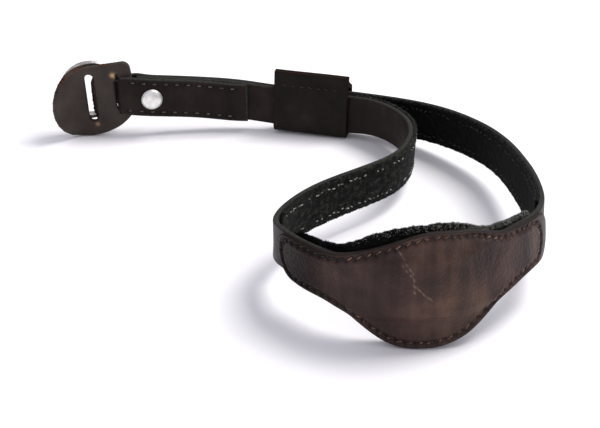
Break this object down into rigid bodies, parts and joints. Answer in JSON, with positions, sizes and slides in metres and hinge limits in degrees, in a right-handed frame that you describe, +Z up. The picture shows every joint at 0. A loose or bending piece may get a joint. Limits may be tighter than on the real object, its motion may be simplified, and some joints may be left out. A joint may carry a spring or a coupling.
{
  "type": "camera wrist strap",
  "caption": "Leather camera wrist strap standing on edge: padded wrist loop, sliding keeper, riveted tail, round end tab and a split ring for the camera's lug.",
  "frame": {"origin": "on the surface that the strap stands on, under the middle of its bounding box", "axes": "+X along the tail, from the split ring to the wrist loop; +Y away from the wrist pad, towards the tail; +Z up, across the strap's width"},
  "size_m": [0.1778, 0.1686, 0.039],
  "materials": {
    "strap_leather": "dark brown-black smooth leather with a satin sheen and raw felted edges",
    "suede": "charcoal suede, napped",
    "pad_leather": "brown pebbled leather with a soft sheen and a few creases",
    "pad_suede": "black suede padding with grey flecks",
    "keeper_leather": "dark brown satin leather, raw edges",
    "tab_leather": "brown matt leather, darker burnished rim",
    "steel": "nickel-plated spring steel",
    "nickel": "polished nickel"
  },
  "bodies": {
    "strap_body": {"strap": "strap_leather", "lining_strand_a": "suede", "lining_strand_b": "suede", "pad_leather": "pad_leather", "pad_lining": "pad_suede", "keeper": "keeper_leather", "end_tab": "tab_leather", "rivet": "nickel", "rivet_back": "nickel"},
    "ring": {"split_ring": "steel"}
  },
  "joints": [
    {"name": "ring_swing", "type": "hinge", "parent": "strap_body", "child": "ring", "pos_m": [-0.0653, 0.08, 0.0183], "axis": [0, 0, 1], "range_deg": [-90, 0]}
  ]
}
